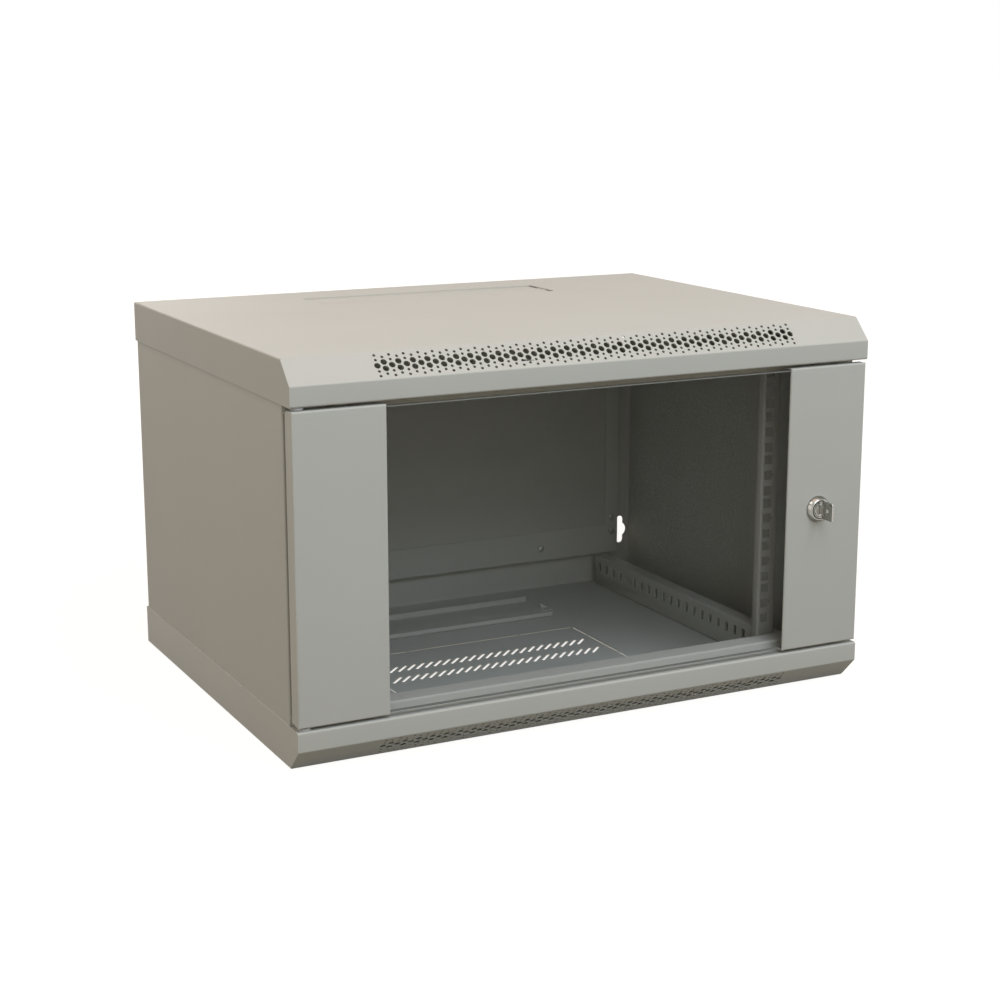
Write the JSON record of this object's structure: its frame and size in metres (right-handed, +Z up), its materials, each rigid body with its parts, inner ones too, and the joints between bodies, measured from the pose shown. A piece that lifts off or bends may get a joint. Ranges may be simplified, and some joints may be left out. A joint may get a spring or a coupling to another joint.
{
  "type": "wall mount network cabinet",
  "caption": "Wall-mounted steel cabinet for 19-inch equipment with a hinged glass door, cam lock, vented chamfered covers, rack rails and cable entries.",
  "frame": {"origin": "middle of the base, on the underside of the bottom cover", "axes": "+X to the right as seen from the front, +Y to the rear, where the wall is, +Z up; the door faces -Y"},
  "size_m": [0.6, 0.4765, 0.368],
  "materials": {
    "paint": "light grey powder coat, satin",
    "glass": "clear toughened glass",
    "zinc": "zinc plated",
    "chrome": "satin nickel",
    "rubber": "matt",
    "nylon": "matt",
    "tape": "foam tape"
  },
  "bodies": {
    "cabinet": {"bottom_cover": "paint", "cable_entry_tray_bottom": "paint", "cable_entry_tray_top": "paint", "depth_rail_bottom_left": "paint", "depth_rail_bottom_right": "paint", "depth_rail_top_left": "paint", "depth_rail_top_right": "paint", "door_bumpers": "rubber", "front_sill_bottom": "paint", "front_sill_top": "paint", "hinge_bush_lower": "nylon", "hinge_bush_upper": "nylon", "left_side_panel": "paint", "rack_rail_left": "paint", "rack_rail_nuts": "zinc", "rack_rail_right": "paint", "rack_rail_screws": "zinc", "rear_frame": "paint", "rear_panel": "paint", "right_side_panel": "paint", "top_cover": "paint"},
    "door": {"door_lock_strip": "paint", "door_hinge_strip": "paint", "door_glass": "glass", "glass_tape_left": "tape", "glass_tape_right": "tape", "hinge_bracket_lower": "zinc", "hinge_bracket_upper": "zinc", "hinge_pin_lower": "zinc", "hinge_spring": "zinc", "lock_housing": "chrome", "lock_nut": "zinc"},
    "upper_pin": {"hinge_pin_upper": "zinc"},
    "lock_cylinder": {"lock_plug": "chrome", "lock_cam": "zinc", "lock_cam_screw": "zinc"},
    "key": {"key": "chrome"}
  },
  "joints": [
    {"name": "door_hinge", "type": "hinge", "parent": "cabinet", "child": "door", "pos_m": [-0.291, -0.217, 0.184], "axis": [0, 0, -1], "range_deg": [0, 180]},
    {"name": "upper_pin_slide", "type": "slide", "parent": "door", "child": "upper_pin", "axis": [0, 0, -1], "range_m": [0, 0.008], "stiffness_N_per_m": 500, "springref_m": -0.01, "deforming": ["hinge_spring"]},
    {"name": "lock_turn", "type": "hinge", "parent": "door", "child": "lock_cylinder", "pos_m": [0.247, -0.225, 0.184], "axis": [0, 1, 0], "range_deg": [0, 90]},
    {"name": "key_withdrawal", "type": "slide", "parent": "lock_cylinder", "child": "key", "axis": [0, -1, 0], "range_m": [0, 0.022]}
  ]
}
